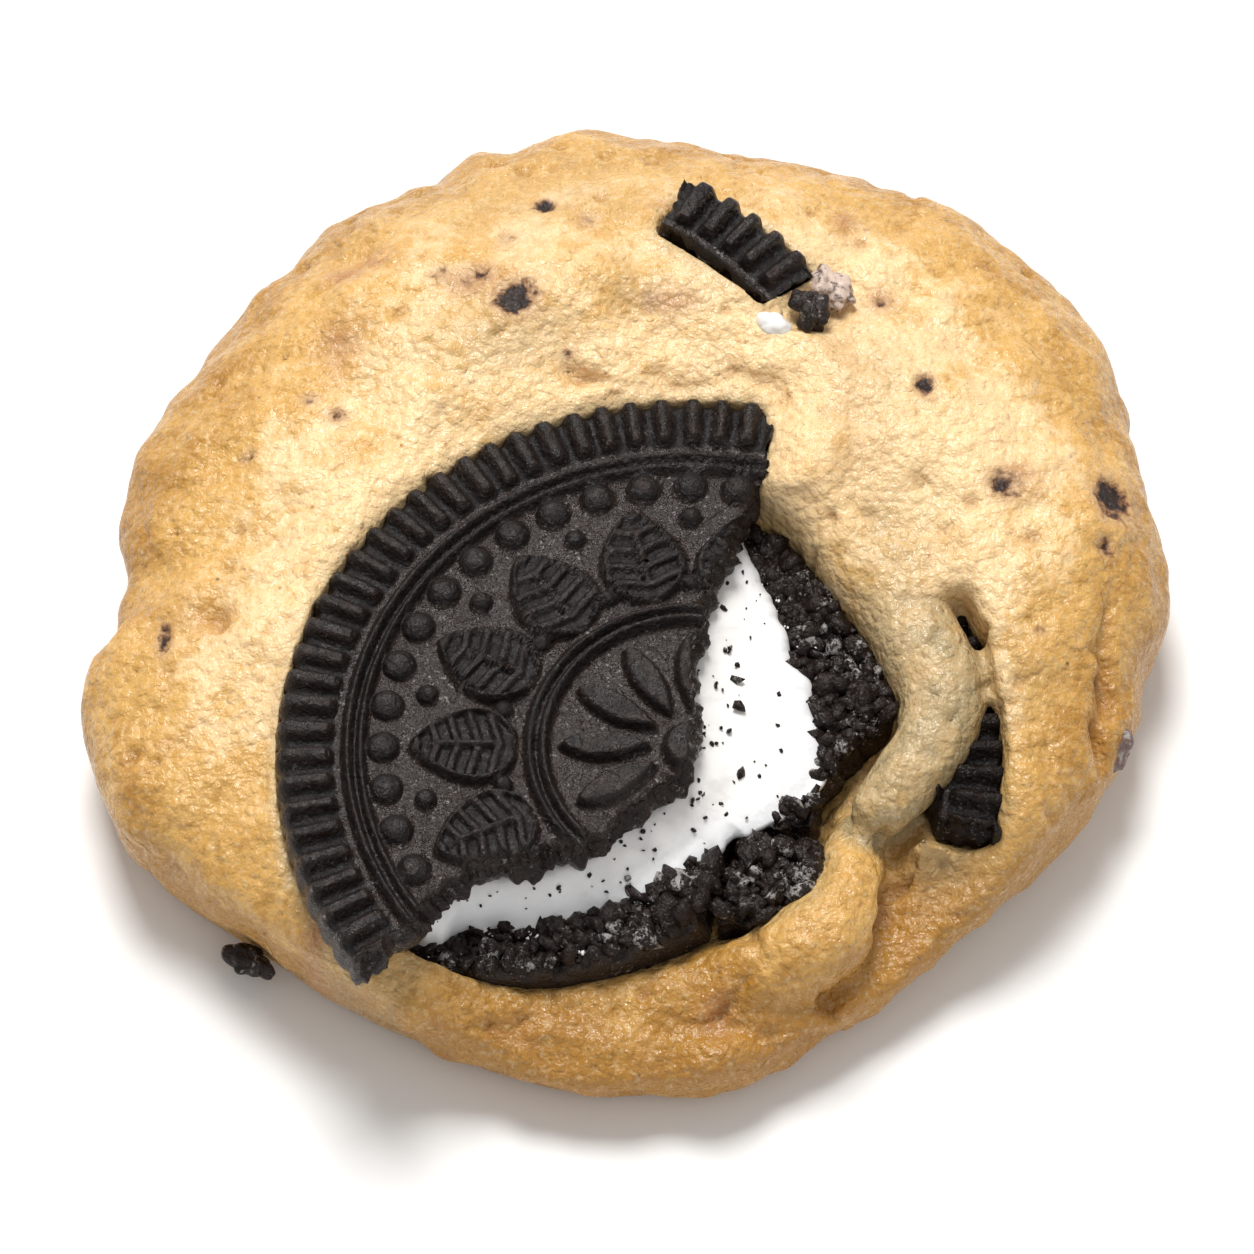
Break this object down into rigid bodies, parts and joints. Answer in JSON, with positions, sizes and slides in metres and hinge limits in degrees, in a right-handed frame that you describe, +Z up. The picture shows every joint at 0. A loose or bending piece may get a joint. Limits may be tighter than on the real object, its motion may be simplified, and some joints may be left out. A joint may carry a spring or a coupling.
{
  "type": "baked cookie with sandwich biscuit pieces",
  "caption": "Thick round soft-baked dough cookie with broken pieces of chocolate sandwich biscuit and white cream filling baked into its top; rests on its flat underside.",
  "frame": {"origin": "middle of the flat underside, on the surface that the cookie rests on", "axes": "+Z up through the cookie's thickness; -Y towards the front, where the filling shows; +X to the right seen from the front"},
  "size_m": [0.0598, 0.06, 0.0145],
  "materials": {
    "dough": "matte",
    "biscuit": "satin",
    "cream": "satin"
  },
  "bodies": {
    "root": {"dough": "dough", "top_wafer": "biscuit", "base_wafer": "biscuit", "base_chunk": "biscuit", "cream": "cream", "back_shard": "biscuit", "back_cream": "cream", "back_smear": "cream", "back_crumb": "biscuit", "right_shard": "biscuit", "left_chip": "biscuit", "right_chip": "biscuit"}
  },
  "joints": []
}
